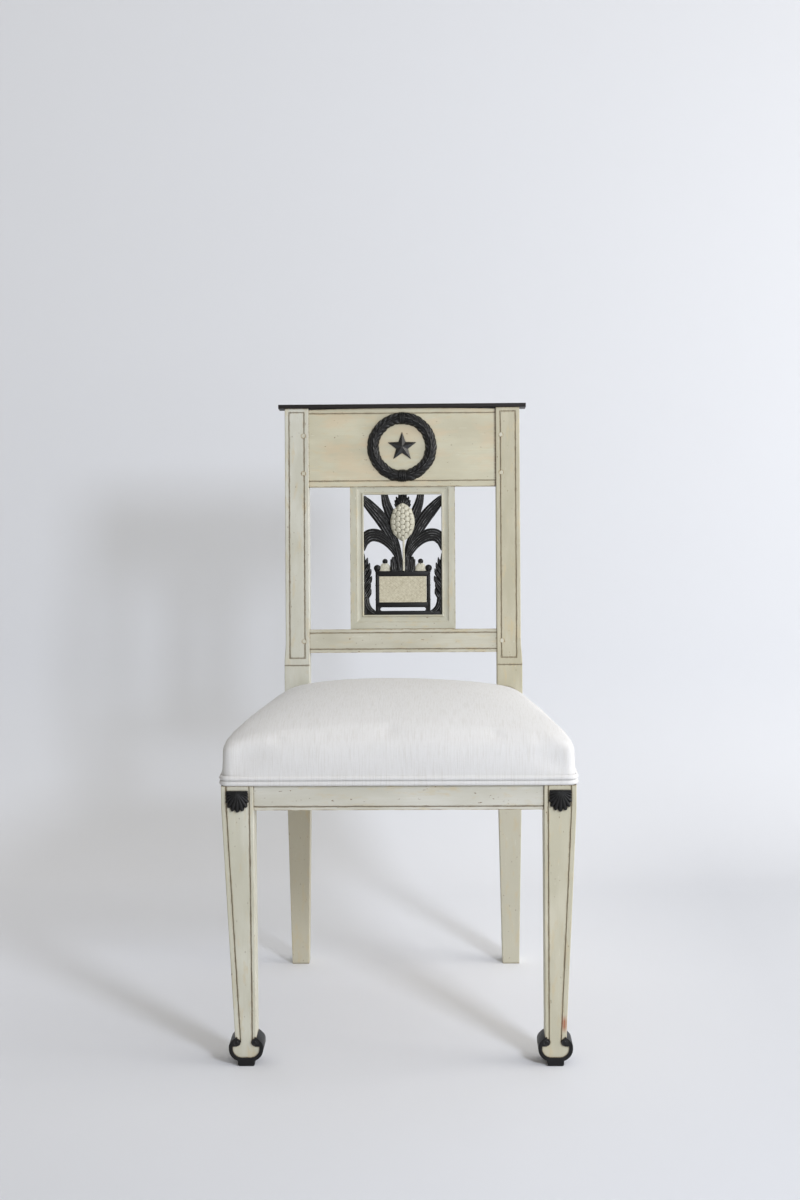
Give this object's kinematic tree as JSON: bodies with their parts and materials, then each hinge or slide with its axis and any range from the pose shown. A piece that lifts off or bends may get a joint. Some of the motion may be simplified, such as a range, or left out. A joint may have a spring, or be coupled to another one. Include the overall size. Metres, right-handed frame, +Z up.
{
  "type": "painted side chair",
  "caption": "Carved and painted side chair: pierced pineapple splat, wreath and star on the crest rail, upholstered linen seat, tapered legs on scroll feet.",
  "frame": {"origin": "on the floor, under the middle of the bounding box", "axes": "+Z up; the front of the chair faces -Y; +X is to the right in a front view"},
  "size_m": [0.4638, 0.4714, 0.86],
  "materials": {
    "paint": "grey-green celadon oil paint, worn at the edges, eggshell",
    "crest_paint": "warm cream oil paint, rubbed thin, eggshell",
    "pale_paint": "cream oil paint with dark wash in the carving, matt",
    "black_paint": "black oil paint, semi-matt, grey on the ridges",
    "cap_paint": "dark brown-black paint, semi-matt",
    "linen": "undyed slubby linen, plain weave",
    "jute": "jute webbing and hessian, coarse weave",
    "bare_pine": "bare pine, sawn",
    "steel": "plain steel screws"
  },
  "bodies": {
    "root": {"front_rail": "paint", "rear_rail": "paint", "lower_back_rail": "paint", "splat_frame_top": "paint", "splat_frame_bottom": "paint", "joint_pegs": "paint", "rear_post_left": "paint", "rear_post_right": "paint", "front_leg_left": "paint", "front_leg_right": "paint", "side_rail_left": "paint", "side_rail_right": "paint", "splat_frame_side_left": "paint", "splat_frame_side_right": "paint", "crest_rail": "crest_paint", "pineapple": "pale_paint", "planter_panel": "pale_paint", "planter_buds": "pale_paint", "wreath": "black_paint", "star": "black_paint", "splat_openwork": "black_paint", "planter_finials": "black_paint", "leg_shell_left": "black_paint", "leg_shell_right": "black_paint", "foot_scroll_left": "black_paint", "foot_scroll_right": "black_paint", "cap_moulding": "cap_paint", "seat_cushion": "linen", "double_welt": "linen", "seat_webbing": "jute", "seat_hessian": "jute", "corner_block_front_left": "bare_pine", "corner_block_front_right": "bare_pine", "corner_block_rear_left": "bare_pine", "corner_block_rear_right": "bare_pine", "corner_block_screws": "steel"}
  },
  "joints": []
}
